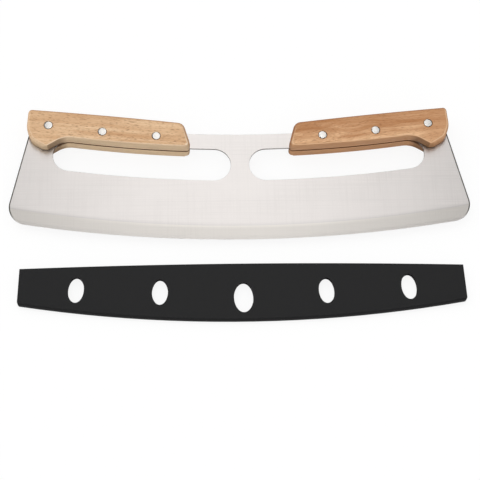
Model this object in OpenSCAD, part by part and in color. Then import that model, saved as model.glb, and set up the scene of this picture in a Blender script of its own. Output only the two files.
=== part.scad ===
// Rocking pizza knife: a wide steel blade with a curved edge, two finger slots and
// two riveted beech handles, and the plastic cover that slides over its edge.
//
// It lies on its back. X runs along the blade, Y from the edge up to the handles,
// and Z out of the front face. The origin is the middle of the footprint, on the
// surface that the rear scales lie on.
//
// The outline of the blade, the slots and the rail are arcs about one centre, which
// is edge_radius above the middle of the edge. The modules draw about that middle,
// with the blade's mid-plane at z = 0, and place() moves them to the origin.

/* [Blade] */
// Length of the blade over its widest corners
blade_len = 355.6; // [320:1:400]
// Thickness of the steel
blade_t = 1.5; // [1:0.1:2.4]
// Radius of the rocking edge
edge_radius = 1005; // [850:5:1300]
// Width of the steel band between the edge and the finger slots
band_w = 49; // [44:0.5:60]
// Width of the rail above the finger slots, which the handles grip
rail_w = 12.7; // [11:0.1:16]
// Lean of the blade's ends from square, in degrees
side_lean = 12.5; // [9:0.5:15]
// Radius of the two corners where the edge meets the ends
corner_r = 15; // [10:1:22]

/* [Finger slots] */
// Width of each finger slot, across its arc
slot_w = 27; // [22:0.2:30]
// Width of the web between the two slots
web_w = 14.2; // [10:0.2:30]
// Width of the steel between a slot and the blade's end
post_w = 23; // [20:0.2:30]

/* [Cutting edge] */
// Width of the main bevel
bevel_w = 11; // [8:0.5:16]
// Width of the fine bevel at the edge
fine_bevel_w = 2.6; // [1:0.1:4]
// Thickness of the steel where the fine bevel starts
shoulder_t = 0.7; // [0.3:0.05:0.8]
// Thickness left at the edge
edge_t = 0.1; // [0.05:0.01:0.2]

/* [Handles] */
// Thickness of each handle, front scale to rear scale
handle_t = 19; // [15:0.5:24]
// Distance from the middle of the knife to each handle
handle_start = 38; // [34:0.2:46]
// Height of the handle at its inner end
handle_inner_h = 21.1; // [19:0.1:25]
// Height of the handle at its outer end
handle_outer_h = 20; // [18:0.1:24]
// Rise of the handle's top above a straight line
top_bow = 0.6; // [0.2:0.1:2]
// How far the inner end leans back over its height
inner_lean = 5.6; // [2:0.1:9]
// How far the outer end leans in over its height
outer_lean = 1.1; // [0:0.1:3]
// Wood past the end of the rail
end_wood = 4.5; // [3:0.1:8]
// Drop of the finger stop below the line of the grip
stop_drop = 9.9; // [8:0.1:12]
// Length of the finger stop
stop_len = 29.4; // [27:0.1:34]
// Radius of the curve from the grip to the finger stop
crest_r = 18; // [12:1:20]
// Radius of the finger stop's toe
toe_r = 3.5; // [2:0.1:4]
// Radius of the finger stop's heel
heel_r = 10; // [6:0.5:12]
// Radius of the handle's lower corner at its inner end
inner_low_r = 3; // [2.7:0.1:4]
// Radius of the handle's upper corner at its inner end
inner_top_r = 6.5; // [4:0.5:9]
// Radius of the handle's upper corner at its outer end
outer_top_r = 3.2; // [2.6:0.1:6]
// Wood that stands past the rail into the finger slot
lip = 2.3; // [0.5:0.1:3.2]
// Room between the rail and the pocket in the wood
rail_room = 0.3; // [0.1:0.1:0.6]
// Width of the rounding along the top and at the outer end
outer_round = 2.2; // [1:0.1:2.4]
// Depth of that rounding below the handle's face
outer_round_depth = 4.4; // [2:0.2:6]
// Rounding of the edges at the inner end
inner_round = 2.4; // [1:0.1:2.6]
// Rounding of the edges along the finger slot, as far as the stop's toe
grip_round = 0.9; // [0.6:0.1:1.6]

/* [Rivets] */
// Diameter of the rivet heads
rivet_head_d = 6.4; // [5.6:0.1:8]
// Thickness of the rivet heads
rivet_head_t = 1.3; // [0.8:0.1:2]
// Outside diameter of the hollow half
barrel_d = 4.6; // [3.8:0.1:5.2]
// Diameter of the solid half's pin
pin_d = 2.9; // [2:0.1:3.2]
// Room round a rivet's shank and round its head
rivet_room = 0.3; // [0.1:0.05:0.5]
// Depth of a head's crown below the face of the wood
head_sink = 0.1; // [0:0.05:0.3]
// Height of a head's crown above its rim
crown_h = 0.15; // [0.1:0.05:0.5]
// Distance from a handle's inner end to its first rivet
rivet_inner = 27; // [18:0.2:32]
// Distance from a handle's outer end to its last rivet
rivet_outer = 17.2; // [14:0.2:24]
// Distance of the rivets below the middle of the rail
rivet_drop = 0.7; // [0:0.1:1.5]

/* [Cover] */
// How much shorter than the blade the cover is, at each end
cover_short = 9.3; // [5:0.1:14]
// Height of the cover at its middle
cover_h = 45.5; // [38:0.5:47]
// Thickness of each wall
cover_wall = 1.2; // [0.8:0.1:1.6]
// Thickness of the floor under the edge
cover_floor = 2.5; // [1.5:0.1:4]
// Room between the blade's faces and the walls
cover_room = 0.2; // [0.1:0.05:0.6]
// Room between the edge and the floor, with the cover pushed home
edge_room = 0.4; // [0.2:0.1:1.5]
// Rise of the lips at the middle
lip_bow = 2.6; // [1:0.1:6]
// Lean of the cover's ends from square, in degrees
cover_lean = 2; // [0.5:0.5:5]
// Radius of the cover's two lower corners
cover_corner_r = 3.5; // [2:0.5:8]
// Gap between the edge and the cover's lips, with the cover taken off
cover_gap = 20.6; // [5:0.2:60]

/* [Cover holes] */
// Distance from one oval hole to the next
hole_pitch = 62.6; // [50:0.2:68]
// Width of the four outer holes
hole_w = 12; // [8:0.2:16]
// Height of the four outer holes
hole_h = 20.5; // [14:0.5:23]
// Width of the middle hole
mid_hole_w = 14.6; // [8:0.2:20]
// Height of the middle hole
mid_hole_h = 24; // [16:0.5:26]
// How far the middle hole lies below the middle of the cover
mid_hole_drop = 4; // [0:0.2:5]

/* [Hidden] */

$fn = 64;
// Steps of the arcs about the edge's centre, which are a metre in radius
arc_fn = 720;
// A cut goes this much past the surface that it cuts
over = 1;

// Arcs about the edge's centre
arc_centre = [0, edge_radius];
slot_low_r = edge_radius - band_w;
slot_mid_r = slot_low_r - slot_w / 2;
slot_top_r = slot_low_r - slot_w;
rivet_line_r = slot_top_r - rail_w / 2 + rivet_drop;
rail_top_r = slot_top_r - rail_w;
grip_r = slot_top_r + lip;

// Height above the middle of the edge, at x, of an arc of radius r
function arc_y(r, x) = edge_radius - sqrt(r * r - x * x);

// Centre of a corner of radius r that joins an arc of radius big_r to an end at half_len
function corner_centre(big_r, half_len, r) =
    let (x = half_len - r)
    [x, edge_radius - sqrt(pow(big_r - r, 2) - x * x)];

// Place at height y of an end that leans in from a corner of radius r about c
function side_x(c, r, lean, y) = c.x + (r - (y - c.y) * sin(lean)) / cos(lean);

blade_corner = corner_centre(edge_radius, blade_len / 2, corner_r);
function blade_side(y) = side_x(blade_corner, corner_r, side_lean, y);

// The end of a slot, where its round end is post_w from the blade's end
slot_end_y = arc_y(slot_mid_r, blade_side(edge_radius - slot_mid_r) - post_w - slot_w / 2);
slot_end_x = blade_side(slot_end_y) - post_w - slot_w / 2;
slot_start_x = web_w / 2 + slot_w / 2;

// The rail's top corner, which the handle's outer end covers
rail_end_y = arc_y(rail_top_r, blade_side(edge_radius - rail_top_r));
handle_end = blade_side(rail_end_y) + end_wood;

// Rivets, from a handle's inner end to its outer end
rivet_first = handle_start + rivet_inner;
rivet_last = handle_end - rivet_outer;
rivet_x = [rivet_first, (rivet_first + rivet_last) / 2, rivet_last];
function rivet_place(i) = [rivet_x[i], arc_y(rivet_line_r, rivet_x[i])];

// Scales
scale_t = handle_t / 2;
face_z = handle_t / 2;
head_seat_z = face_z - head_sink - rivet_head_t - crown_h;
// The hollow half stops short of the solid half's head, and its bore goes on past the pin
barrel_end_z = -head_seat_z + 1.7;
pin_end_z = head_seat_z - 1.5;
bore_end_z = pin_end_z + 0.6;

// Cover, pushed home over the edge
cavity_w = blade_t + 2 * cover_room;
cover_t = cavity_w + 2 * cover_wall;
cover_half = blade_len / 2 - cover_short;
cavity_r = edge_radius + edge_room;
cover_r = cavity_r + cover_floor;
cover_bottom_y = edge_radius - cover_r;
lip_y = cover_bottom_y + cover_h;
lip_r = (cover_half * cover_half + lip_bow * lip_bow) / (2 * lip_bow);
cover_corner = corner_centre(cover_r, cover_half, cover_corner_r);
cover_travel = lip_y + cover_gap;

// Points of a corner of radius r at b, on the way from a to c
function corner_points(a, b, c, r, steps) =
    r == 0 ? [b] :
    let (
        u = (a - b) / norm(a - b),
        v = (c - b) / norm(c - b),
        half = acos(u * v) / 2,
        centre = b + (u + v) / norm(u + v) * r / sin(half),
        from = b + u * r / tan(half) - centre,
        to = b + v * r / tan(half) - centre,
        turn = atan2(from.x * to.y - from.y * to.x, from * to),
        start = atan2(from.y, from.x)
    )
    [for (k = [0:steps]) centre + r * [cos(start + turn * k / steps), sin(start + turn * k / steps)]];

// The right handle's outline, anticlockwise: place, corner radius, width and depth of
// the edge's rounding
top_edge = [outer_round, outer_round_depth];
grip_edge = [grip_round, grip_round];
inner_edge = [inner_round, inner_round];

// The grip follows the slot's arc, clear of the corners at its two ends
crest_x = handle_end - stop_len;
grip_first = handle_start + 5;
grip_last = crest_x - 9;
grip_steps = 9;
grip_line = [
    for (k = [0:grip_steps])
    let (x = grip_first + (grip_last - grip_first) * k / grip_steps)
    [x, arc_y(grip_r, x), 0, grip_edge]
];

// The finger stop: the crest where it leaves the grip, its toe, its heel and the side
toe_x = handle_end - 0.57 * stop_len;
toe_y = arc_y(grip_r, toe_x) - stop_drop;
heel_x = handle_end - 0.14 * stop_len;
heel_y = arc_y(grip_r, heel_x) - 0.62 * stop_drop;
side_y = arc_y(grip_r, handle_end) + 0.18 * handle_outer_h;
finger_stop = [
    [crest_x, arc_y(grip_r, crest_x), crest_r, grip_edge],
    [toe_x, toe_y, toe_r, grip_edge],
    [toe_x + 0.14 * stop_len, toe_y + 0.05 * stop_drop, toe_r, top_edge],
    [heel_x, heel_y, heel_r, top_edge],
    [handle_end, side_y, crest_r, top_edge]
];

// The top: a bowed line between its two ends
top_inner = [handle_start + inner_lean, arc_y(grip_r, handle_start + inner_lean) + handle_inner_h];
top_outer = [handle_end - outer_lean, arc_y(grip_r, handle_end) + handle_outer_h];
top_steps = 6;
top_line = [
    for (k = [1:top_steps - 1])
    let (t = k / top_steps, p = top_outer + (top_inner - top_outer) * t)
    [p.x, p.y + 4 * top_bow * t * (1 - t), 0, top_edge]
];
handle_corners = concat(
    [[handle_start, arc_y(grip_r, handle_start), inner_low_r, inner_edge]],
    grip_line,
    finger_stop,
    [[top_outer.x, top_outer.y, outer_top_r, top_edge]],
    top_line,
    [[top_inner.x, top_inner.y, inner_top_r, top_edge]]
);
corner_steps = 7;
corner_count = len(handle_corners);
function corner_place(i) = [handle_corners[i].x, handle_corners[i].y];
outline = [
    for (i = [0:corner_count - 1])
    let (
        before = corner_place((i + corner_count - 1) % corner_count),
        after = corner_place((i + 1) % corner_count)
    )
    for (p = corner_points(before, corner_place(i), after, handle_corners[i][2], corner_steps))
    [p.x, p.y, handle_corners[i][3]]
];
outline_count = len(outline);
function outline_place(i) =
    let (p = outline[(i + outline_count) % outline_count])
    [p.x, p.y];

// Direction from a point of the outline into the wood
function inward(i) =
    let (
        back = outline_place(i) - outline_place(i - 1),
        ahead = outline_place(i + 1) - outline_place(i),
        along = back / norm(back) + ahead / norm(ahead)
    )
    [-along.y, along.x] / norm(along);

// Middle of the footprint, from the cover's bottom to the top of the handles
handle_top_y = max([for (p = outline) p.y]);
middle_y = (handle_top_y + cover_bottom_y - cover_travel) / 2;

// From the blade's own place to the origin
module place() {
    translate([0, -middle_y, handle_t / 2]) children();
}

// The corner of a sheet outside its corner radius, to cut away
module corner_waste(c, r, lean) {
    outward = (c - arc_centre) / norm(c - arc_centre);
    sideways = [cos(lean), sin(lean)];
    reach = 3 * r;
    difference() {
        polygon([c, c + reach * outward, c + reach * (outward + sideways), c + reach * sideways]);
        translate(c) circle(r = r);
    }
}

// A sheet between two ends that lean in, from height y0 to y1
module leaning_sides(c, r, lean, y0, y1, extra = 0) {
    x0 = side_x(c, r, lean, y0) + extra;
    x1 = side_x(c, r, lean, y1) + extra;
    polygon([[-x0, y0], [x0, y0], [x1, y1], [-x1, y1]]);
}

module both_sides() {
    children();
    mirror([1, 0]) children();
}

// Outline of the blade without its slots
module blank_2d() {
    difference() {
        intersection() {
            translate(arc_centre) circle(r = edge_radius, $fn = arc_fn);
            leaning_sides(blade_corner, corner_r, side_lean, -over, rail_end_y + 2 * rail_w);
        }
        translate(arc_centre) circle(r = rail_top_r, $fn = arc_fn);
        both_sides() corner_waste(blade_corner, corner_r, side_lean);
    }
}

// One finger slot: a band along its arc, with round ends. The ends are wider than the
// band by a hundredth of a millimetre a side, so that they meet it at clear corners.
module slot_2d() {
    start = [slot_start_x, arc_y(slot_mid_r, slot_start_x)];
    end = [slot_end_x, arc_y(slot_mid_r, slot_end_x)];
    end_d = slot_w + 0.02;
    past = 1.2;
    intersection() {
        difference() {
            translate(arc_centre) circle(r = slot_low_r, $fn = arc_fn);
            translate(arc_centre) circle(r = slot_top_r, $fn = arc_fn);
        }
        polygon([
            arc_centre,
            arc_centre + past * (start - arc_centre),
            arc_centre + past * (end - arc_centre)
        ]);
    }
    translate(start) circle(d = end_d);
    translate(end) circle(d = end_d);
}

// What the bevels take off the front face
module bevel_cut() {
    translate(arc_centre)
        rotate_extrude($fn = arc_fn)
        polygon([
            [edge_radius - bevel_w, blade_t / 2],
            [edge_radius - fine_bevel_w, shoulder_t / 2],
            [edge_radius, edge_t / 2],
            [edge_radius + over, edge_t / 2],
            [edge_radius + over, blade_t / 2 + over],
            [edge_radius - bevel_w, blade_t / 2 + over]
        ]);
}

module rivet_holes(d) {
    for (i = [0:2])
        translate([rivet_place(i).x, rivet_place(i).y, -handle_t])
        cylinder(d = d, h = 2 * handle_t);
}

module blade() {
    color("#E3E0DE")
        place()
        difference() {
            translate([0, 0, -blade_t / 2])
                linear_extrude(blade_t)
                difference() {
                    blank_2d();
                    both_sides() slot_2d();
                }
            bevel_cut();
            mirror([0, 0, 1]) bevel_cut();
            rivet_holes(barrel_d + rivet_room);
            mirror([1, 0, 0]) rivet_holes(barrel_d + rivet_room);
        }
}

// The wood of one front scale: the outline, with its edge rounded over
module scale_wood() {
    round_steps = 5;
    rings = concat(
        [[for (i = [0:outline_count - 1]) [outline[i].x, outline[i].y, 0]]],
        [
            for (k = [0:round_steps])
            let (a = 90 * k / round_steps)
            [
                for (i = [0:outline_count - 1])
                let (
                    edge = outline[i][2],
                    p = outline_place(i) + inward(i) * edge[0] * (1 - cos(a))
                )
                [p.x, p.y, scale_t - edge[1] * (1 - sin(a))]
            ]
        ]
    );
    n = outline_count;
    top = len(rings) - 1;
    // Each flat face is a fan about a point over the crest, which sees the whole outline
    hub = [crest_x, arc_y(grip_r, crest_x) + handle_outer_h / 2];
    low_hub = (top + 1) * n;
    high_hub = low_hub + 1;
    points = concat(
        [for (ring = rings) for (p = ring) p],
        [[hub.x, hub.y, 0], [hub.x, hub.y, scale_t]]
    );
    walls = [
        for (k = [0:top - 1])
        for (i = [0:n - 1])
        let (j = (i + 1) % n, a = k * n, b = (k + 1) * n)
        for (face = [[a + i, b + j, a + j], [a + i, b + i, b + j]])
        face
    ];
    flats = [
        for (i = [0:n - 1])
        let (j = (i + 1) % n)
        for (face = [[low_hub, i, j], [high_hub, top * n + j, top * n + i]])
        face
    ];
    polyhedron(points = points, faces = concat(walls, flats), convexity = 6);
}

// Room in the wood for the rail and the part of the blade next to it
module rail_pocket() {
    linear_extrude(height = blade_t, center = true)
        difference() {
            leaning_sides(blade_corner, corner_r, side_lean, 0, rail_end_y + 2 * rail_w, rail_room);
            translate(arc_centre) circle(r = rail_top_r - rail_room, $fn = arc_fn);
        }
}

// The right handle's front scale, on the blade's mid-plane
module front_scale() {
    difference() {
        scale_wood();
        rail_pocket();
        rivet_holes(barrel_d + rivet_room);
        for (i = [0:2])
            translate([rivet_place(i).x, rivet_place(i).y, head_seat_z])
            cylinder(d = rivet_head_d + 2 * rivet_room, h = handle_t);
    }
}

module right_front_scale() {
    color("#CFA077") place() front_scale();
}

module right_rear_scale() {
    color("#CFA077") place() mirror([0, 0, 1]) front_scale();
}

module left_front_scale() {
    color("#D9B48A") place() mirror([1, 0, 0]) front_scale();
}

module left_rear_scale() {
    color("#D9B48A") place() mirror([1, 0, 0]) mirror([0, 0, 1]) front_scale();
}

// Half profile of a crowned head, from its rim to the axis, seated at head_seat_z
crown_r = (pow(rivet_head_d / 2, 2) + crown_h * crown_h) / (2 * crown_h);
crown_steps = 5;
crown_angle = asin(rivet_head_d / 2 / crown_r);
head_profile = [
    for (k = [0:crown_steps])
    let (a = crown_angle * (1 - k / crown_steps))
    [crown_r * sin(a), face_z - head_sink - crown_r * (1 - cos(a))]
];

// side is 1 for the right handle and -1 for the left one
module at_rivet(side, i) {
    translate([side * rivet_place(i).x, rivet_place(i).y, 0]) children();
}

// The hollow half, which goes in from the front
module rivet_barrel(side, i) {
    color("#F1F0EE")
        place()
        at_rivet(side, i)
        rotate_extrude()
        polygon(concat(
            [
                [0, bore_end_z],
                [pin_d / 2, bore_end_z],
                [pin_d / 2, barrel_end_z],
                [barrel_d / 2, barrel_end_z],
                [barrel_d / 2, head_seat_z],
                [rivet_head_d / 2, head_seat_z]
            ],
            head_profile
        ));
}

// The solid half, which is driven into the hollow one from the rear
module rivet_pin(side, i) {
    color("#F1F0EE")
        place()
        at_rivet(side, i)
        mirror([0, 0, 1])
        rotate_extrude()
        polygon(concat(
            [
                [0, -pin_end_z],
                [pin_d / 2, -pin_end_z],
                [pin_d / 2, head_seat_z],
                [rivet_head_d / 2, head_seat_z]
            ],
            head_profile
        ));
}

// Lips and ends of the cover, pushed home. The strip itself sets the bottom.
module cover_2d() {
    lip_steps = 40;
    reach = cover_half + 2 * over;
    lips = [for (k = [0:lip_steps]) let (x = reach * (1 - 2 * k / lip_steps)) [x, lip_at(x)]];
    difference() {
        intersection() {
            polygon(concat([[-reach, cover_bottom_y - over], [reach, cover_bottom_y - over]], lips));
            leaning_sides(cover_corner, cover_corner_r, cover_lean, cover_bottom_y - over, lip_y + over);
        }
        both_sides() corner_waste(cover_corner, cover_corner_r, cover_lean);
    }
}

// A folded strip along the edge, closed at its outer radius by a round bend
module folded_strip() {
    bend_r = cover_t / 2;
    bend_steps = 8;
    bend = [
        for (k = [0:2 * bend_steps])
        let (a = -90 + 90 * k / bend_steps)
        [cover_r - bend_r + bend_r * cos(a), bend_r * sin(a)]
    ];
    strip_r = cover_r - 1.6 * cover_h;
    translate(arc_centre)
        rotate_extrude($fn = arc_fn)
        polygon(concat(bend, [[strip_r, cover_t / 2], [strip_r, -cover_t / 2]]));
}

// Heights of the cover's lips and bottom at x, and the place and lean of a hole there
function lip_at(x) = lip_y - lip_r + sqrt(lip_r * lip_r - x * x);
function hole_y(x) = (lip_at(x) + arc_y(cover_r, x)) / 2;
function hole_lean(x) = (asin(x / cover_r) - asin(x / lip_r)) / 2;

// An oval hole through both walls, as points of an ellipse
module oval_hole(x, y, w, h) {
    steps = 48;
    translate([x, y, -cover_t])
        rotate([0, 0, hole_lean(x)])
        linear_extrude(2 * cover_t)
        polygon([for (k = [0:steps - 1]) [w / 2 * cos(360 * k / steps), h / 2 * sin(360 * k / steps)]]);
}

module blade_cover() {
    color("#2D2D2D")
        place()
        translate([0, -cover_travel, 0])
        difference() {
            intersection() {
                folded_strip();
                linear_extrude(height = 2 * cover_t, center = true) cover_2d();
            }
            translate(arc_centre) cylinder(r = cavity_r, h = cavity_w, center = true, $fn = arc_fn);
            for (x = [-2, -1, 1, 2] * hole_pitch)
                oval_hole(x, hole_y(x), hole_w, hole_h);
            oval_hole(0, hole_y(0) - mid_hole_drop, mid_hole_w, mid_hole_h);
        }
}

blade();
left_front_scale();
left_rear_scale();
right_front_scale();
right_rear_scale();
rivet_barrel(-1, 0);  // left_inner_rivet_barrel
rivet_barrel(-1, 1);  // left_middle_rivet_barrel
rivet_barrel(-1, 2);  // left_outer_rivet_barrel
rivet_barrel(1, 0);  // right_inner_rivet_barrel
rivet_barrel(1, 1);  // right_middle_rivet_barrel
rivet_barrel(1, 2);  // right_outer_rivet_barrel
rivet_pin(-1, 0);  // left_inner_rivet_pin
rivet_pin(-1, 1);  // left_middle_rivet_pin
rivet_pin(-1, 2);  // left_outer_rivet_pin
rivet_pin(1, 0);  // right_inner_rivet_pin
rivet_pin(1, 1);  // right_middle_rivet_pin
rivet_pin(1, 2);  // right_outer_rivet_pin
blade_cover();
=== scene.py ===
# %% [markdown]
# # A rocking pizza knife in Blender
#
# The knife is one wide steel blade with a curved edge and two finger slots. Two
# beech handles are riveted over the rail above the slots, and a black plastic cover
# slides over the edge.
#
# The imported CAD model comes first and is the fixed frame. Each piece that shows is
# either shaped here from a merged copy of its CAD node, whose sizes are right and
# whose edges are too sharp, or turned on an axis like the real one. The finishes
# carry most of the likeness: brushed steel, ground steel, two kinds of beech, bright
# aluminium and satin black plastic.

# %% Load the frame
import math

import bmesh
import bpy
from mathutils import Matrix, Vector


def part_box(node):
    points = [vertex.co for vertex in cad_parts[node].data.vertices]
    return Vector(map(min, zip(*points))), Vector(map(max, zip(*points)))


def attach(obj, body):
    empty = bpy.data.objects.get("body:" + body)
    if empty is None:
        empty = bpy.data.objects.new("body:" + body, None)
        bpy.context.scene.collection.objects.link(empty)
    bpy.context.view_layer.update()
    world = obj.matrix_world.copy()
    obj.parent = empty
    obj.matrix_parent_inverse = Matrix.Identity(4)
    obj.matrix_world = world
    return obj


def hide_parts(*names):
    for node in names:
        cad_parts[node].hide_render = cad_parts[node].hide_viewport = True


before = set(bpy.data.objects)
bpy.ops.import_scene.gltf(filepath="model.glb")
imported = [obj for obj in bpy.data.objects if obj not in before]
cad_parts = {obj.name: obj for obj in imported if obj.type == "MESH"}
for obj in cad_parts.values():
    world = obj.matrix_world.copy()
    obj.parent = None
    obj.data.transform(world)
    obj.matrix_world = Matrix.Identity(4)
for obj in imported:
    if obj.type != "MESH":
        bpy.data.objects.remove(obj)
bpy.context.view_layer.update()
MM = 0.001

# %% [markdown]
# ## Places that several pieces share
#
# The edge, the slots and the rail are arcs about one centre, a metre above the middle
# of the edge. Their radius and the widths of the two bevels are the CAD's. The middle
# of the edge and the steel's mid-plane come from the blade's box, so they stay right
# if the part moves, which typed numbers wouldn't.

# %% The centre of the arcs and the steel's mid-plane
EDGE_RADIUS = 1005 * MM
BEVEL_WIDTH = 11 * MM
FINE_BEVEL_WIDTH = 2.6 * MM

blade_low, blade_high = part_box("blade")
mid_plane = (blade_low.z + blade_high.z) / 2
arc_centre = Vector((0, blade_low.y + EDGE_RADIUS, mid_plane))


def arc_distance(point):
    """Distance of a point from the axis of the arcs, in metres."""
    return math.hypot(point.x - arc_centre.x, point.y - arc_centre.y)


print("edge at y", round(blade_low.y / MM, 2), "mm, mid-plane at z",
      round(mid_plane / MM, 2), "mm")

# %% [markdown]
# ## Camera
#
# The photograph looks down on the knife from the side of the edge, about 22 degrees
# from square, through a long lens. It could be framed with a target and a lens alone,
# but a fit of the blade's corners, rivets and slots gave a small turn and roll too, so
# the camera is built from those three angles and the point that it looks at. It has a
# lens of 98 mm on a frame 36 mm wide, a metre away.

# %% The camera of the photograph
CAMERA_YAW = math.radians(2.704)
CAMERA_PITCH = math.radians(22.1)
CAMERA_ROLL = math.radians(-1.566)
CAMERA_DISTANCE = 1.0
CAMERA_LENS = 98.363
SENSOR_WIDTH = 36
CLIP_START = 0.05
AIM = Vector((-1.558 * MM, blade_low.y - 0.509 * MM, mid_plane))

back = Vector((
    -math.sin(CAMERA_YAW) * math.cos(CAMERA_PITCH),
    -math.sin(CAMERA_PITCH),
    math.cos(CAMERA_YAW) * math.cos(CAMERA_PITCH),
)).normalized()
level = Vector((0, 1, 0)).cross(back).normalized()
steep = back.cross(level)
across = math.cos(CAMERA_ROLL) * level + math.sin(CAMERA_ROLL) * steep
upward = -math.sin(CAMERA_ROLL) * level + math.cos(CAMERA_ROLL) * steep

camera = bpy.data.objects.new("camera", bpy.data.cameras.new("camera"))
camera.data.lens = CAMERA_LENS
camera.data.sensor_width = SENSOR_WIDTH
camera.data.clip_start = CLIP_START
camera.matrix_world = Matrix.Translation(AIM + back * CAMERA_DISTANCE) @ Matrix(
    (across, upward, back)).transposed().to_4x4()
bpy.context.scene.collection.objects.link(camera)
bpy.context.scene.camera = camera
print("camera at", [round(v, 3) for v in camera.location])

# %% [markdown]
# ## Helpers for materials
#
# Colours are given as sRGB hex values, as a paint card shows them, and Blender mixes
# light in linear values, so one function turns one into the other. Another adds a node
# with its settings and links in one call, which keeps each finish readable.
#
# A finish is then built as a painter would: a ground colour, and thin layers over it,
# each strong in one place and gone in another. A layer's share is full where one or
# more values, such as a noise or a distance, have passed their limits.

# %% Colours and nodes
# Noise of these finishes stays mostly within this range, around its middle of 0.5
NOISE_LOW, NOISE_HIGH = 0.3, 0.7


def linear(hex_colour):
    """Linear RGBA of an sRGB hex colour such as D9B48A, by the curve of the sRGB standard."""
    parts = [int(hex_colour[i:i + 2], 16) / 255 for i in (0, 2, 4)]
    return [p / 12.92 if p <= 0.04045 else ((p + 0.055) / 1.055) ** 2.4 for p in parts] + [1]


def feed(tree, node, inputs):
    """Sets the node's inputs, each to a value, a node's output or a node's first output."""
    for name, value in inputs.items():
        if isinstance(value, bpy.types.Node):
            value = next(output for output in value.outputs if output.enabled)
        if isinstance(value, bpy.types.NodeSocket):
            tree.links.new(value, node.inputs[name])
        else:
            node.inputs[name].default_value = value


def add(tree, kind, inputs=None, **settings):
    """Adds a node of that kind, with its settings and what feeds its inputs."""
    node = tree.nodes.new(kind)
    for name, value in settings.items():
        setattr(node, name, value)
    feed(tree, node, inputs or {})
    return node


def new_material(name):
    """A material with only its output and its Principled shader, linked."""
    material = bpy.data.materials.new(name)
    material.use_nodes = True
    tree = material.node_tree
    tree.nodes.clear()
    shader = add(tree, "ShaderNodeBsdfPrincipled")
    add(tree, "ShaderNodeOutputMaterial", {"Surface": shader})
    return material, tree, shader


def millimetres(tree, turn=0.0):
    """Object coordinates in millimetres, turned about Z so that X runs with the grain."""
    place = add(tree, "ShaderNodeTexCoord")
    return add(tree, "ShaderNodeMapping", {
        "Vector": place.outputs["Object"],
        "Rotation": (0, 0, -turn),
        "Scale": (1 / MM, 1 / MM, 1 / MM),
    })


def streaks(tree, place, length, width, detail=3.0):
    """Noise whose features are that long along X and that wide across it, in millimetres."""
    stretched = add(tree, "ShaderNodeVectorMath", {
        0: place, 1: (1 / length, 1 / width, 1 / width)}, operation="MULTIPLY")
    return add(tree, "ShaderNodeTexNoise", {
        "Vector": stretched, "Scale": 1.0, "Detail": detail, "Roughness": 0.55})


def share(tree, most, *limits):
    """Up to most, where every value has gone from its low to its high.

    Each limit is a value, its low and its high. Low may be the larger number, and most
    may be a share itself.
    """
    for value, low, high in limits:
        most = add(tree, "ShaderNodeMapRange", {
            "Value": value, "From Min": low, "From Max": high, "To Max": most}, clamp=True)
    return most


def layer(tree, colour, shade, most, *limits, mode="MIX"):
    """The colour with a layer of the hex shade over it, as strong as share says."""
    return add(tree, "ShaderNodeMix", {
        0: share(tree, most, *limits), 6: colour, 7: linear(shade),
    }, data_type="RGBA", blend_type=mode)


print("D9B48A is", [round(v, 3) for v in linear("D9B48A")], "in linear light")

# %% [markdown]
# ## Beech
#
# The handles are two pieces of beech, from two boards. The left one is pale and
# straight-grained, with the many short dark flecks that tell beech from other pale
# woods. The right one is redder, with a slow wavy grain and fewer flecks, and redder
# still along its top, which lay towards the heart of the tree. Both are sanded and
# oiled, so the shine is low and soft, and the end grain drinks more oil and comes out
# darker.
#
# Noise stretched along the grain makes the wood: wide bands for the growth rings,
# fine lines for the fibres, and the peaks of a third noise, cut off high, for the
# flecks. Real fibres are 0.1 mm wide, too fine to show here, so they are drawn at
# 0.7 mm. The grain runs along each handle, which leans 5.6 degrees.
#
# The rest follows the way a surface faces, which the normal tells. A painted highlight
# lies on the crease where each rounding starts, and painted shade darkens the rounding
# itself and the inner end, whose end grain is also darker. The underside walls get
# painted light, lighter on the pale board and darker on the red one, and the hollow
# of the finger stop gets painted shade. Under the stop, where it hangs over the steel, a
# painted contact shadow makes the wood nearly black. The walls of the saw cut that
# holds the rail are in painted shade.

# %% Places on a handle
GRAIN_TURN = math.radians(5.6)
# Height of a handle's middle line over the origin, square to the grain, in millimetres
HANDLE_LINE = 55
HEART_FADE = 10
# From the knife's middle, in millimetres: where the outer end's own shade sets in, then
# the finger stop's hollow, and the stretch under the stop that gets a painted contact shadow
TIP_FROM, TIP_TO = 138, 152
HOLLOW_FROM, HOLLOW_TO = 118, 126
CONTACT_SHADOW_FROM, CONTACT_SHADOW_TO = 134, 160
CONTACT_SHADOW_FADE = 6
# From the mid-plane, in millimetres: the painted contact shadow is gone at the first and full at
# the second
CONTACT_SHADOW_EDGE, CONTACT_SHADOW_CORE = 2.8, 1.0
# The dirt range printed here is that of the painted contact shadow under the finger stop
print("grain leans", round(math.degrees(GRAIN_TURN), 1), "degrees, dirt from", CONTACT_SHADOW_FROM,
      "to", CONTACT_SHADOW_TO, "mm off the middle")

# %% Beech, pale and red
BEECH_IOR = 1.47
BEECH_SPECULAR = 0.35
HOLLOW_PAINTED_SHADE = "6E4E30"
CONTACT_SHADOW_SHADE = "3A2616"


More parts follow.
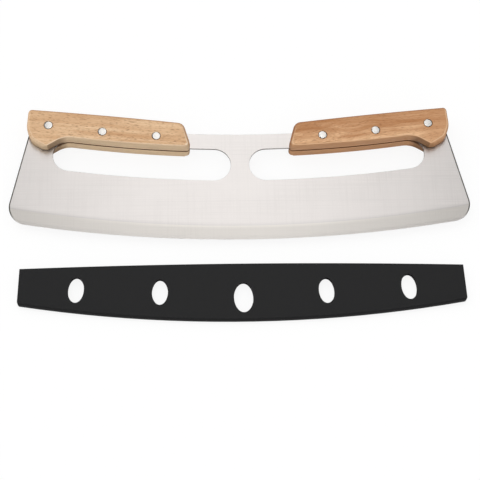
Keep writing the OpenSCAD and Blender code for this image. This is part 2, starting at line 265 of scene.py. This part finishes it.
def beech(name, grain_turn, inner_side, wave, pale, deep, fleck, tip, end_grain_and_shade, underside_painted_light, crease_highlight,
          fleck_share, heart_share, rounding_shade_share, outer_crease_highlight):
    """One board's finish. inner_side is 1 where X grows towards the knife's middle, else -1.

    Shades are hex colours, and shares go from 0 to 1.
    """
    material, tree, shader = new_material(name)
    place = millimetres(tree, grain_turn)
    # A slow sideways drift bends the grain lines, by at most half of wave millimetres
    drift = add(tree, "ShaderNodeTexNoise", {"Vector": place, "Scale": 0.02, "Detail": 1.0})
    drift = add(tree, "ShaderNodeVectorMath", {
        0: drift.outputs["Color"], 1: (0.5, 0.5, 0.5)}, operation="SUBTRACT")
    place = add(tree, "ShaderNodeVectorMath", {
        0: drift, 1: (0, wave, wave), 2: place}, operation="MULTIPLY_ADD")
    rings = streaks(tree, place, 90, 3.4)
    fibres = streaks(tree, place, 22, 0.7, detail=2.0)
    dashes = streaks(tree, place, 3.4, 0.55, detail=1.0)
    blotches = streaks(tree, place, 45, 12, detail=1.0)
    height = add(tree, "ShaderNodeSeparateXYZ", {0: place}).outputs["Y"]
    centred = add(tree, "ShaderNodeVectorMath", {
        0: millimetres(tree), 1: (0, 0, mid_plane / MM)}, operation="SUBTRACT")
    centred = add(tree, "ShaderNodeVectorMath", {0: centred}, operation="ABSOLUTE")
    centred = add(tree, "ShaderNodeSeparateXYZ", {0: centred})
    aside, depth = centred.outputs["X"], centred.outputs["Z"]

    # Limits that lie closer together than the noise's own range make harder stripes
    colour = layer(tree, linear(pale), deep, 1.0, (rings, 0.34, 0.66))
    colour = layer(tree, colour, deep, 0.75, (fibres, 0.4, 0.64))
    colour = layer(tree, colour, pale, 0.45, (blotches, 0.35, 0.65))
    # The board's heart side lies along the handle's top, and is redder
    colour = layer(tree, colour, deep, heart_share,
                   (height, HANDLE_LINE, HANDLE_LINE + HEART_FADE))
    # Each board's outer end has a shade of its own
    colour = layer(tree, colour, tip, 0.45, (aside, TIP_FROM, TIP_TO))
    # Only the peaks of the short noise make flecks
    colour = layer(tree, colour, fleck, fleck_share, (dashes, 0.57, 0.68))

    # The ways a surface can face: square to the front or back, up or down, and inward
    normal = add(tree, "ShaderNodeTexCoord").outputs["Normal"]
    normal = add(tree, "ShaderNodeSeparateXYZ", {0: normal}).outputs
    flatness = add(tree, "ShaderNodeMath", {0: normal["Z"]}, operation="ABSOLUTE")
    inward = add(tree, "ShaderNodeMath", {0: normal["X"], 1: inner_side}, operation="MULTIPLY")
    # A painted highlight lies on the crease where the rounding starts. It is there on
    # the first degrees of the turn, not along the top, and may be weaker at the outer end
    crease_highlight_share = add(tree, "ShaderNodeMapRange", {
        "Value": inward, "From Min": -0.2, "From Max": 0.1,
        "To Min": 0.7 * outer_crease_highlight, "To Max": 0.7}, clamp=True)
    colour = layer(tree, colour, crease_highlight, crease_highlight_share, (flatness, 0.9995, 0.985),
                   (flatness, 0.72, 0.88), (normal["Y"], 0.18, 0.06))
    # Painted shade darkens the rounding along the top, on the steep part and at the inner end,
    # where the end grain is also darker in its own right
    colour = layer(tree, colour, end_grain_and_shade, 0.85, (normal["Y"], 0.1, 0.55))
    colour = layer(tree, colour, end_grain_and_shade, rounding_shade_share, (flatness, 0.7, 0.2))
    colour = layer(tree, colour, end_grain_and_shade, 0.9, (inward, 0.15, 0.65))
    # Painted light on the wall that the router left under the grip: lighter on the pale board,
    # darker on the red one
    colour = layer(tree, colour, underside_painted_light, 0.6, (normal["Y"], -0.2, -0.9))
    # Painted shade darkens the hollow side of the finger stop, where the handle hangs over the
    # steel
    colour = layer(tree, colour, HOLLOW_PAINTED_SHADE, 0.6, (inward, 0.1, 0.4),
                   (aside, HOLLOW_FROM, HOLLOW_TO), (flatness, 0.9, 0.5))
    # A painted contact shadow darkens the underside, where the finger stop hangs over the steel
    colour = layer(tree, colour, CONTACT_SHADOW_SHADE, 0.9,
                   (depth, CONTACT_SHADOW_EDGE, CONTACT_SHADOW_CORE), (normal["Y"], -0.15, -0.4),
                   (aside, CONTACT_SHADOW_FROM, CONTACT_SHADOW_FROM + CONTACT_SHADOW_FADE), (aside, CONTACT_SHADOW_TO, CONTACT_SHADOW_TO - CONTACT_SHADOW_FADE))

    relief = add(tree, "ShaderNodeMath", {0: fibres, 1: dashes}, operation="SUBTRACT")
    feed(tree, shader, {
        "Base Color": colour,
        "Roughness": add(tree, "ShaderNodeMapRange", {
            "Value": fibres, "From Min": NOISE_LOW, "From Max": NOISE_HIGH,
            "To Min": 0.5, "To Max": 0.62}, clamp=True),
        "Normal": add(tree, "ShaderNodeBump", {
            "Height": relief, "Distance": 0.12 * MM, "Strength": 0.6}),
        "IOR": BEECH_IOR,
        "Specular IOR Level": BEECH_SPECULAR,
    })
    return material


# Some of each board's colours are painted light: a highlight on the crease, shade on the rounding
# and the end, and light or shade on the underside wall
pale_beech = beech(
    "pale_beech_oiled", -GRAIN_TURN, inner_side=1, wave=3.0,
    pale="E4C29C", deep="C3956A", fleck="8A5E38", tip="D6B088",
    end_grain_and_shade="A87E58", underside_painted_light="F0D8B5", crease_highlight="F3E0C6",
    fleck_share=0.62, heart_share=0.0, rounding_shade_share=0.3, outer_crease_highlight=0.3)
red_beech = beech(
    "red_beech_oiled", GRAIN_TURN, inner_side=-1, wave=14.0,
    pale="E4B98F", deep="AE774A", fleck="85552F", tip="B8845A",
    end_grain_and_shade="93623D", underside_painted_light="D9A578", crease_highlight="E6C29C",
    fleck_share=0.45, heart_share=0.5, rounding_shade_share=0.7, outer_crease_highlight=1.0)
print("boards:", pale_beech.name, red_beech.name)


# %% The saw cut's walls, in painted shade
def sawn_kerf():
    """The walls of the saw cut that the rail sits in, darkened with painted shade."""
    material, tree, shader = new_material("beech_kerf_painted_shade")
    lines = streaks(tree, millimetres(tree), 12, 0.8, detail=2.0)
    feed(tree, shader, {
        # The dark base colour is painted shade in the deep, narrow cut
        "Base Color": layer(tree, linear("5A3A22"), "7D5433", lines),
        "Roughness": 0.85,
        "Specular IOR Level": 0.2,
    })
    return material


kerf_beech = sawn_kerf()
print("saw cut:", kerf_beech.name)

# %% [markdown]
# ## Steel
#
# The blade is stainless sheet, about 1.5 mm, brushed along its length by a belt, so
# its face is bright and soft with faint long lines. Fainter ones cross them, left by
# the mill that rolled and polished the sheet. The bevel is ground after that. One
# recipe makes the face, the bevel, the fine bevel and the cut walls, each with its
# own shades. Belt lines are some 0.05 mm wide, and they are drawn at 0.7 mm so that
# they show.
#
# Three marks are painted shade. The face darkens over its last 3 mm before the bevel,
# and the bevel over its first 2.5 mm below its upper line. A painted dark line lies along
# that upper line, soft in the middle and stronger towards the ends. The rims of the
# two ends are tumbled rounder than the others, and a narrow band along them gets a
# painted reflection of the dark side of the room, which follows the blade's leaning
# ends and lower corners.

# %% The painted dark reflection at the blade's ends
# The blade's ends: a line that leans in from a corner of this radius
CORNER_RADIUS = 15 * MM
END_LEAN = math.radians(12.5)
END_BAND_PAINTED_REFLECTION = "5A5652"
# In millimetres: the dark band's width, and how fast it sets in
END_BAND_WIDTH = 0.8
SHARP_FADE = 0.2
# From the middle of the corner's round, in millimetres: where the band sets in outwards
# of it, and where it has faded below it
ROUND_OUTWARD = (5, 6)
ROUND_BELOW = (-11, -5)


def end_band(tree, place, colour):
    """Paints a dark reflection on the narrow band along the blade's two ends and round its lower
    corners.
    """
    radius = CORNER_RADIUS / MM
    corner_x = blade_high.x - CORNER_RADIUS
    corner_y = arc_centre.y - math.sqrt((EDGE_RADIUS - CORNER_RADIUS) ** 2 - corner_x ** 2)
    parts = add(tree, "ShaderNodeSeparateXYZ", {0: place}).outputs
    outward = add(tree, "ShaderNodeMath", {0: parts["X"]}, operation="ABSOLUTE")
    offset = add(tree, "ShaderNodeCombineXYZ", {"X": outward, "Y": parts["Y"]})
    offset = add(tree, "ShaderNodeVectorMath", {
        0: offset, 1: (corner_x / MM, corner_y / MM, 0)}, operation="SUBTRACT")
    to_line = add(tree, "ShaderNodeVectorMath", {
        0: offset, 1: (math.cos(END_LEAN), math.sin(END_LEAN), 0)}, operation="DOT_PRODUCT")
    to_corner = add(tree, "ShaderNodeVectorMath", {0: offset}, operation="LENGTH")
    parts = add(tree, "ShaderNodeSeparateXYZ", {0: offset}).outputs
    # Above the corner the straight line counts, and below it the round one, which fades out
    tangent = radius * math.sin(END_LEAN)
    low = share(tree, 1.0, (parts["Y"], tangent + SHARP_FADE, tangent))
    reach = add(tree, "ShaderNodeMix", {0: low, 2: to_line, 3: to_corner})
    high = add(tree, "ShaderNodeMath", {0: 1.0, 1: low}, operation="SUBTRACT")
    most = add(tree, "ShaderNodeMath", {
        0: high, 1: share(tree, 1.0, (parts["X"], *ROUND_OUTWARD))}, operation="MAXIMUM")
    band = radius - END_BAND_WIDTH
    return layer(tree, colour, END_BAND_PAINTED_REFLECTION, most, (reach, band - SHARP_FADE, band),
                 (parts["Y"], *ROUND_BELOW))


print("end bands:", END_BAND_WIDTH, "mm wide")


# %% Brushed face and ground bevel
BEVEL_LINE_PAINTED_SHADE = "A5A09B"
# In millimetres: the painted dark line along the bevel's top lies this far inside the
# bevel. It is gone at the first distance from its own middle and full at the second
BEVEL_LINE_INSIDE = 0.4
BEVEL_LINE_FADE = (1.9, 0.2)
# It shows more and more between these distances from the knife's middle
BEVEL_LINE_ASIDE = (60, 165)


def brushed_steel(name, shade, dark_shade, rough, painted_tint=None, painted_tint_from=0.0, painted_tint_to=0.0):
    """Steel with belt lines of two shades.

    The painted shade sets in between two distances from the edge, in millimetres, and
    comes with the painted line along the bevel's top and the painted reflection of the end bands.
    """
    material, tree, shader = new_material(name)
    place = millimetres(tree)
    lines = streaks(tree, place, 60, 0.7, detail=4.0)
    crossing = streaks(tree, millimetres(tree, math.radians(90)), 40, 1.1)
    clouds = streaks(tree, place, 40, 25, detail=2.0)
    colour = layer(tree, linear(dark_shade), shade, 1.0, (lines, NOISE_LOW, NOISE_HIGH))
    colour = layer(tree, colour, dark_shade, 0.9, (crossing, 0.45, 0.7))
    colour = layer(tree, colour, shade, 0.5, (clouds, 0.35, 0.65))
    if painted_tint:
        edge = EDGE_RADIUS / MM
        centre = (arc_centre.x / MM, arc_centre.y / MM, 0)
        reach = add(tree, "ShaderNodeVectorMath", {
            0: place, 1: (1, 1, 0)}, operation="MULTIPLY")
        reach = add(tree, "ShaderNodeVectorMath", {
            0: reach, 1: centre}, operation="DISTANCE")
        # Painted shade near the bevel's upper line
        colour = layer(tree, colour, painted_tint, 1.0, (reach, edge - painted_tint_from, edge - painted_tint_to),
                       mode="MULTIPLY")
        off_line = add(tree, "ShaderNodeMath", {
            0: reach, 1: edge - BEVEL_WIDTH / MM + BEVEL_LINE_INSIDE}, operation="SUBTRACT")
        off_line = add(tree, "ShaderNodeMath", {0: off_line}, operation="ABSOLUTE")
        aside = add(tree, "ShaderNodeSeparateXYZ", {0: place}).outputs["X"]
        aside = add(tree, "ShaderNodeMath", {0: aside}, operation="ABSOLUTE")
        # A painted dark line along the bevel's upper line, stronger towards the ends
        colour = layer(tree, colour, BEVEL_LINE_PAINTED_SHADE, 0.22,
                       (off_line, *BEVEL_LINE_FADE), (aside, *BEVEL_LINE_ASIDE))
        colour = end_band(tree, place, colour)
    feed(tree, shader, {
        "Base Color": colour,
        "Roughness": add(tree, "ShaderNodeMapRange", {
            "Value": lines, "From Min": NOISE_LOW, "From Max": NOISE_HIGH,
            "To Min": rough - 0.012, "To Max": rough + 0.012}, clamp=True),
        "Normal": add(tree, "ShaderNodeBump", {
            "Height": lines, "Distance": 0.003 * MM, "Strength": 0.15}),
        "Metallic": 1.0,
    })
    return material


# Painted shade darkens the face before the bevel starts, and the bevel below its upper line
bevel_line = BEVEL_WIDTH / MM
face_steel = brushed_steel("brushed_stainless_steel", "F6F1EE", "EDE8E5", 0.42,
                           "F2F2F2", bevel_line + 3, bevel_line)
bevel_steel = brushed_steel("ground_stainless_steel", "F9F4EE", "F2EDE7", 0.42,
                            "F0F0F0", bevel_line, bevel_line - 2.5)
honed_steel = brushed_steel("honed_stainless_steel", "F4EFEA", "ECE7E2", 0.42)
# The sheet's walls are the same steel in darker shades: painted shade on the rims
shaded_cut_steel = brushed_steel("cut_stainless_steel_painted_shade", "8E8A87", "7C7875", 0.3)
print("steel:", face_steel.name, bevel_steel.name, honed_steel.name, shaded_cut_steel.name)

# %% [markdown]
# ## Aluminium and black plastic
#
# The rivets are cold-headed aluminium, tumbled bright, with a fine even satin. The
# cover is moulded in black polypropylene with a fine spark-eroded texture, which
# takes the shine off and leaves a flat, even black. One recipe makes both from an even
# noise, which varies the shade and the roughness a little and dents the surface: by 4
# microns on the metal and 20 on the plastic. Real grit is finer than a tenth of a
# millimetre, and it is drawn at about half a millimetre so that it shows.

# %% Rivet metal and cover plastic
def fine_grain(name, noise_scale, detail, shades, roughness, depth, strength, others):
    """A finish whose shade, roughness and surface all follow one even noise.

    shades and roughness each have a low and a high end. others are the shader's inputs
    that are the same all over.
    """
    material, tree, shader = new_material(name)
    grain = add(tree, "ShaderNodeTexNoise", {
        "Vector": millimetres(tree), "Scale": noise_scale, "Detail": detail})
    feed(tree, shader, {
        "Base Color": layer(tree, linear(shades[0]), shades[1], 1.0,
                            (grain, NOISE_LOW, NOISE_HIGH)),
        "Roughness": add(tree, "ShaderNodeMapRange", {
            "Value": grain, "From Min": NOISE_LOW, "From Max": NOISE_HIGH,
            "To Min": roughness[0], "To Max": roughness[1]}, clamp=True),
        "Normal": add(tree, "ShaderNodeBump", {
            "Height": grain, "Distance": depth, "Strength": strength}),
    } | others)
    return material


rivet_aluminium = fine_grain(
    "tumbled_aluminium", noise_scale=1.4, detail=3.0, shades=("F6F2ED", "FCFAF6"),
    roughness=(0.38, 0.44), depth=0.004 * MM, strength=0.3, others={"Metallic": 1.0})
cover_plastic = fine_grain(
    "moulded_black_polypropylene", noise_scale=2.2, detail=2.0, shades=("19191A", "1F1F20"),
    roughness=(0.5, 0.6), depth=0.02 * MM, strength=0.5,
    others={"IOR": 1.49, "Specular IOR Level": 0.3})
print("small finishes:", rivet_aluminium.name, cover_plastic.name)

# %% [markdown]
# ## Helpers for pieces
#
# A CAD node's mesh is loose triangles. A copy is merged, and its triangles are
# dissolved into the flat faces that they came from, so that a bevel finds one clean
# edge where two faces meet. When a piece is done, its flat faces are shaded flat and
# its curved ones smooth, so that a rounded edge doesn't smear its shade over a flat.

# %% Copy, soften and place
# Points this close are one, which merges the CAD's loose triangles
SAME_POINT = 0.0005 * MM
# Facets of the metre-wide arcs differ by more than this, and must stay apart
FLAT_WITHIN = math.radians(0.02)
# Two faces that meet at more than this make a corner, which real pieces have rounded
CORNER_ANGLE = math.radians(50)
# Faces that meet at less than this are shaded as one curved surface
SMOOTH_WITHIN = math.radians(35)
# A face is flat, and not part of a bevel or a round, when its normal's Z is over this
FLAT_NORMAL = 0.9995


def merged_copy(node_name):
    """The CAD node's mesh as one closed bmesh of flat faces."""
    bm = bmesh.new()
    bm.from_mesh(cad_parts[node_name].data)
    bmesh.ops.remove_doubles(bm, verts=bm.verts, dist=SAME_POINT)
    bmesh.ops.dissolve_limit(bm, angle_limit=FLAT_WITHIN, verts=bm.verts, edges=bm.edges)
    return bm


def soften(bm, edges, width, segments=2):
    """Rounds these edges over by width."""
    bmesh.ops.bevel(bm, geom=edges, offset=width, offset_type="OFFSET", affect="EDGES",
                    segments=segments, profile=0.5, clamp_overlap=True, material=-1)


def corner_edges(bm):
    """Edges where two faces meet at a corner."""
    return [e for e in bm.edges
            if len(e.link_faces) == 2 and e.calc_face_angle(0) > CORNER_ANGLE]


def place_piece(name, bm, materials, body, slot, *nodes, flat_normal=FLAT_NORMAL):
    """Makes the piece, which rides on body and stands for the nodes."""
    mesh = bpy.data.meshes.new(name)
    bm.to_mesh(mesh)
    bm.free()
    for material in materials:
        mesh.materials.append(material)
    mesh.set_sharp_from_angle(angle=SMOOTH_WITHIN)
    # After the sharp edges, because setting those clears what is flat
    for polygon in mesh.polygons:
        polygon.use_smooth = abs(polygon.normal.z) < flat_normal
    piece = bpy.data.objects.new(name, mesh)
    bpy.context.scene.collection.objects.link(piece)
    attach(piece, body)
    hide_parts(*nodes)
    print(f"{name}: {len(mesh.polygons)} faces")


# %% [markdown]
# ## Blade
#
# The real blade is cut from sheet, ground along its edge and tumbled, which takes the
# sharpness off its rims. Its outline could be drawn again from arcs, but the CAD node
# holds it exactly, so the rims alone are new: all but the cutting edge are rounded by
# 0.4 mm, and those of the two ends by 0.72 mm, which is nearly half the sheet. The
# bevel's faces then get the ground finish, a narrow strip at the edge the honed one,
# and the walls of the sheet the cut one, whose darker shades are painted shade.

# %% Shape the blade
RIM_ROUND = 0.4 * MM
END_ROUND = 0.72 * MM
# The rims this near the blade's widest points are those of its two ends
END_WIDTH = 14 * MM
# A face is a wall of the sheet, and not a bevel, when its normal's Z is under this
BEVEL_NORMAL = 0.99
blade = merged_copy("blade")


def rim_edges(at_ends):
    """The blade's sharp edges at its two ends or elsewhere, without the cutting edge."""
    return [e for e in corner_edges(blade)
            if max(arc_distance(v.co) for v in e.verts) < EDGE_RADIUS - FINE_BEVEL_WIDTH / 2
            and (min(abs(v.co.x) for v in e.verts) > blade_high.x - END_WIDTH) == at_ends]


soften(blade, rim_edges(at_ends=False), RIM_ROUND)
soften(blade, rim_edges(at_ends=True), END_ROUND)
blade.normal_update()
for face in blade.faces:
    distance = arc_distance(face.calc_center_median())
    if abs(face.normal.z) < BEVEL_NORMAL:
        face.material_index = 3
    elif distance > EDGE_RADIUS - FINE_BEVEL_WIDTH:
        face.material_index = 2
    elif distance > EDGE_RADIUS - BEVEL_WIDTH and abs(face.normal.z) < FLAT_NORMAL:
        face.material_index = 1
place_piece("steel_blade", blade, [face_steel, bevel_steel, honed_steel, shaded_cut_steel],
            "knife", "blade_steel", "blade", flat_normal=BEVEL_NORMAL)

# %% [markdown]
# ## Handles
#
# Each handle is two scales of wood, sawn to one outline and routed round their outer
# edges. The CAD scales have that outline and rounding already. What they lack is the
# light sanding on every other corner: the rims of the counterbores, and the two
# corners that face each other along the finger slot, whose small chamfers make the
# dark line between the scales. A narrow bevel on each sharp edge gives both, and the
# walls of the saw cut between the chamfers get the wood in painted shade.

# %% Shape the four scales
SANDED = 0.25 * MM
KERF_CHAMFER = 0.45 * MM
# What lies this near the steel's mid-plane belongs to the saw cut
KERF_DEPTH = 0.9 * MM
# A face lies across the handle, as the walls of the saw cut do, over this
KERF_NORMAL = 0.9
for side, wood, slot in (("left", pale_beech, "light_beech"), ("right", red_beech, "red_beech")):
    for half in ("front", "rear"):
        node_name = f"{side}_{half}_scale"
        scale = merged_copy(node_name)
        soften(scale, [e for e in corner_edges(scale)
                       if all(abs(v.co.z - mid_plane) < KERF_DEPTH for v in e.verts)],
               KERF_CHAMFER, segments=1)
        soften(scale, [e for e in corner_edges(scale)
                       if all(abs(v.co.z - mid_plane) > 2 * KERF_DEPTH for v in e.verts)],
               SANDED)
        scale.normal_update()
        for face in scale.faces:
            # The saw cut's walls get the beech in painted shade
            inside = abs(face.calc_center_median().z - mid_plane) < KERF_DEPTH
            if inside and abs(face.normal.z) > KERF_NORMAL:
                face.material_index = 1
        place_piece(f"{side}_{half}_wood", scale, [wood, kerf_beech],
                    "knife", slot, node_name)

# %% [markdown]
# ## Rivets
#
# A cutler's rivet is two turned parts: a hollow half with a head, driven in from the
# front, and a solid half pressed into it from the rear. Both are round, so each is
# half a profile spun about its axis. The heads have a low crown and a small round at
# the rim, which catches a ring of light. The crown is 0.08 mm high and the CAD's is
# 0.15 mm, because the photograph's heads are evenly bright, as nearly flat ones are.
# The head below it is thicker by as much, so its seat stays where it was.

# %% Turn the rivets
HEAD_RADIUS = 3.2 * MM
HEAD_ROUND = 0.2 * MM
CROWN_HEIGHT = 0.08 * MM
CROWN_STEPS = 6
HEAD_THICKNESS = 1.37 * MM
BARREL_RADIUS = 2.3 * MM
PIN_RADIUS = 1.45 * MM
BORE_GAP = 0.6 * MM
TURN_STEPS = 40


def crown_points(top, side):
    """The crown's profile from axis to rim. side is 1 for a head that looks to the front."""
    sphere = (HEAD_RADIUS ** 2 + CROWN_HEIGHT ** 2) / (2 * CROWN_HEIGHT)
    radii = [HEAD_RADIUS * k / CROWN_STEPS for k in range(CROWN_STEPS + 1)]
    return [(r, top - side * (sphere - math.sqrt(sphere ** 2 - r ** 2))) for r in radii]


def turned(profile, axis_point):
    """Spins a profile of (radius, height) points, from axis to axis, about a vertical axis."""
    bm = bmesh.new()
    verts = [bm.verts.new((axis_point.x + r, axis_point.y, z)) for r, z in profile]
    edges = [bm.edges.new(pair) for pair in zip(verts, verts[1:])]
    bmesh.ops.spin(bm, geom=verts + edges, cent=(axis_point.x, axis_point.y, 0), axis=(0, 0, 1),
                   dvec=(0, 0, 0), angle=2 * math.pi, steps=TURN_STEPS, use_merge=True,
                   use_normal_flip=False, use_duplicate=False)
    bmesh.ops.remove_doubles(bm, verts=bm.verts, dist=SAME_POINT)
    bmesh.ops.recalc_face_normals(bm, faces=bm.faces)
    soften(bm, corner_edges(bm), HEAD_ROUND)
    return bm


for side in ("left", "right"):
    for place in ("inner", "middle", "outer"):
        rivet = f"{side}_{place}_rivet"
        barrel_low, barrel_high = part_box(f"{rivet}_barrel")
        pin_low, pin_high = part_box(f"{rivet}_pin")
        axis_point = (barrel_low + barrel_high) / 2
        seat = barrel_high.z - CROWN_HEIGHT - HEAD_THICKNESS
        bore_end = pin_high.z + BORE_GAP
        barrel = turned(crown_points(barrel_high.z, 1) + [
            (HEAD_RADIUS, seat), (BARREL_RADIUS, seat), (BARREL_RADIUS, barrel_low.z),
            (PIN_RADIUS, barrel_low.z), (PIN_RADIUS, bore_end), (0, bore_end),
        ], axis_point)
        place_piece(f"{rivet}_front", barrel, [rivet_aluminium],
                    "knife", "rivet_metal", f"{rivet}_barrel")
        seat = pin_low.z + CROWN_HEIGHT + HEAD_THICKNESS
        pin = turned(crown_points(pin_low.z, -1) + [
            (HEAD_RADIUS, seat), (PIN_RADIUS, seat), (PIN_RADIUS, pin_high.z), (0, pin_high.z),
        ], axis_point)
        place_piece(f"{rivet}_rear", pin, [rivet_aluminium],
                    "knife", "rivet_metal", f"{rivet}_pin")

# %% [markdown]
# ## Cover
#
# The cover is one thin strip folded round the edge, open at both ends, with five oval
# holes through both walls. A thin moulding has no sharp corner anywhere, so the CAD
# node's rims are rounded by 0.25 mm: its lips, its ends and the rims of the holes.

# %% Shape the cover
COVER_ROUND = 0.25 * MM
cover = merged_copy("blade_cover")
soften(cover, corner_edges(cover), COVER_ROUND)
place_piece("plastic_cover", cover, [cover_plastic], "cover", "cover_plastic", "blade_cover")

# %% [markdown]
# ## Floor
#
# The knife is heavier at the blade, so it leans on the lower edges of its handles, and
# the cover, which is at the blade's height, lies on its far edge. A floor that tips by
# 3 degrees meets both. It is white paper. The camera sees a mix of plain white, as in
# the photograph, and a smaller share of lit paper, which keeps the soft shadows.

# %% White paper under the knife
FLOOR_SIZE = 3.0
SHADOW_SHARE = 0.13
handle_low = min(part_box(f"{side}_rear_scale")[0].y for side in ("left", "right"))
cover_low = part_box("blade_cover")[0]
floor_tilt = -math.atan(cover_low.z / (handle_low - cover_low.y))

floor_bm = bmesh.new()
bmesh.ops.create_grid(
    floor_bm, x_segments=1, y_segments=1, size=FLOOR_SIZE,
    matrix=Matrix.Translation((0, handle_low, 0)) @ Matrix.Rotation(floor_tilt, 4, "X"))
floor_mesh = bpy.data.meshes.new("floor")
floor_bm.to_mesh(floor_mesh)
floor_bm.free()
floor = bpy.data.objects.new("floor", floor_mesh)
bpy.context.scene.collection.objects.link(floor)

paper, tree, shader = new_material("white_paper")
feed(tree, shader, {"Base Color": linear("FBFBFB"), "Roughness": 0.9, "Specular IOR Level": 0.0})
seen = add(tree, "ShaderNodeLightPath").outputs["Is Camera Ray"]
white = add(tree, "ShaderNodeEmission", {"Color": linear("FFFFFF"), "Strength": 1.0})
paper_seen = add(tree, "ShaderNodeMixShader", {
    0: share(tree, 1 - SHADOW_SHARE, (seen, 0, 1)), 1: shader, 2: white})
feed(tree, tree.nodes["Material Output"], {"Surface": paper_seen})
floor_mesh.materials.append(paper)
print("floor tips by", round(math.degrees(floor_tilt), 2), "degrees")

# %% [markdown]
# ## Light
#
# The photograph was lit by large soft sources, a little stronger from the upper left,
# against pure white. The world stands in for them, and shows each kind of surface its
# own part. The camera sees plain white. Wood, plastic and paper get an even light from
# all sides, and a wide, weak sun from the upper left, which the metal doesn't mirror.
# Steel and aluminium mirror one narrow softbox above the knife, which fades to both
# sides and gives the steel its slow fall-off to the ends, a dim light on the left, and
# a low dim ring of room light, so that they aren't black from other sides.

# %% World and sun
# Directions are unit vectors: X to the right, Y from the edge to the handles, Z up
SOFTBOX_MIDDLE = (0.028, 0.36, 0)
SOFTBOX_HALF_WIDTH, SOFTBOX_HALF_DEPTH = 0.18, 0.8
SOFTBOX_STRENGTH = 4.3
LEFT_LIGHT = 0.5
ROOM_LIGHT = 0.35
FILL_LIGHT = 0.84
SUN_STRENGTH = 0.95
SUN_WIDTH = math.radians(80)
SUN_DIRECTION = Vector((-0.45, 0.55, 0.75))

world = bpy.data.worlds.new("studio")
world.use_nodes = True
bpy.context.scene.world = world
tree = world.node_tree
tree.nodes.clear()
ray = add(tree, "ShaderNodeLightPath").outputs
mirrored = add(tree, "ShaderNodeMath", {
    0: ray["Is Glossy Ray"], 1: ray["Is Transmission Ray"]}, operation="MAXIMUM")
direction = add(tree, "ShaderNodeTexCoord").outputs["Generated"]
off_box = add(tree, "ShaderNodeVectorMath", {
    0: direction, 1: SOFTBOX_MIDDLE}, operation="SUBTRACT")
off_box = add(tree, "ShaderNodeVectorMath", {0: off_box}, operation="ABSOLUTE")
off_box = add(tree, "ShaderNodeSeparateXYZ", {0: off_box}).outputs
direction = add(tree, "ShaderNodeSeparateXYZ", {0: direction}).outputs

softbox = share(tree, SOFTBOX_STRENGTH, (off_box["X"], SOFTBOX_HALF_WIDTH, 0),
                (off_box["Y"], SOFTBOX_HALF_DEPTH, 0))
# From 27 degrees to the left of upright on, and full from 49 degrees
left_light = share(tree, LEFT_LIGHT, (direction["X"], -0.45, -0.75))
# From the horizon up, full between 9 and 30 degrees, and gone above 49
room_light = share(tree, ROOM_LIGHT, (direction["Z"], 0, 0.15), (direction["Z"], 0.75, 0.5))
dim_light = add(tree, "ShaderNodeMath", {0: left_light, 1: room_light}, operation="MAXIMUM")
mirror_light = add(tree, "ShaderNodeMath", {0: softbox, 1: dim_light}, operation="MAXIMUM")

fill, mirror, white = (
    add(tree, "ShaderNodeBackground", {"Color": linear("FFFFFF"), "Strength": strength})
    for strength in (FILL_LIGHT, mirror_light, 1.0))
lit = add(tree, "ShaderNodeMixShader", {0: mirrored, 1: fill, 2: mirror})
shown = add(tree, "ShaderNodeMixShader", {0: ray["Is Camera Ray"], 1: lit, 2: white})
add(tree, "ShaderNodeOutputWorld", {"Surface": shown})

sun = bpy.data.objects.new("sun", bpy.data.lights.new("sun", "SUN"))
sun.data.energy = SUN_STRENGTH
sun.data.angle = SUN_WIDTH
sun.visible_glossy = False
sun.rotation_mode = "QUATERNION"
sun.rotation_quaternion = SUN_DIRECTION.to_track_quat("Z", "Y")
bpy.context.scene.collection.objects.link(sun)
bpy.context.scene.view_settings.view_transform = "Standard"
print("world and sun are set")
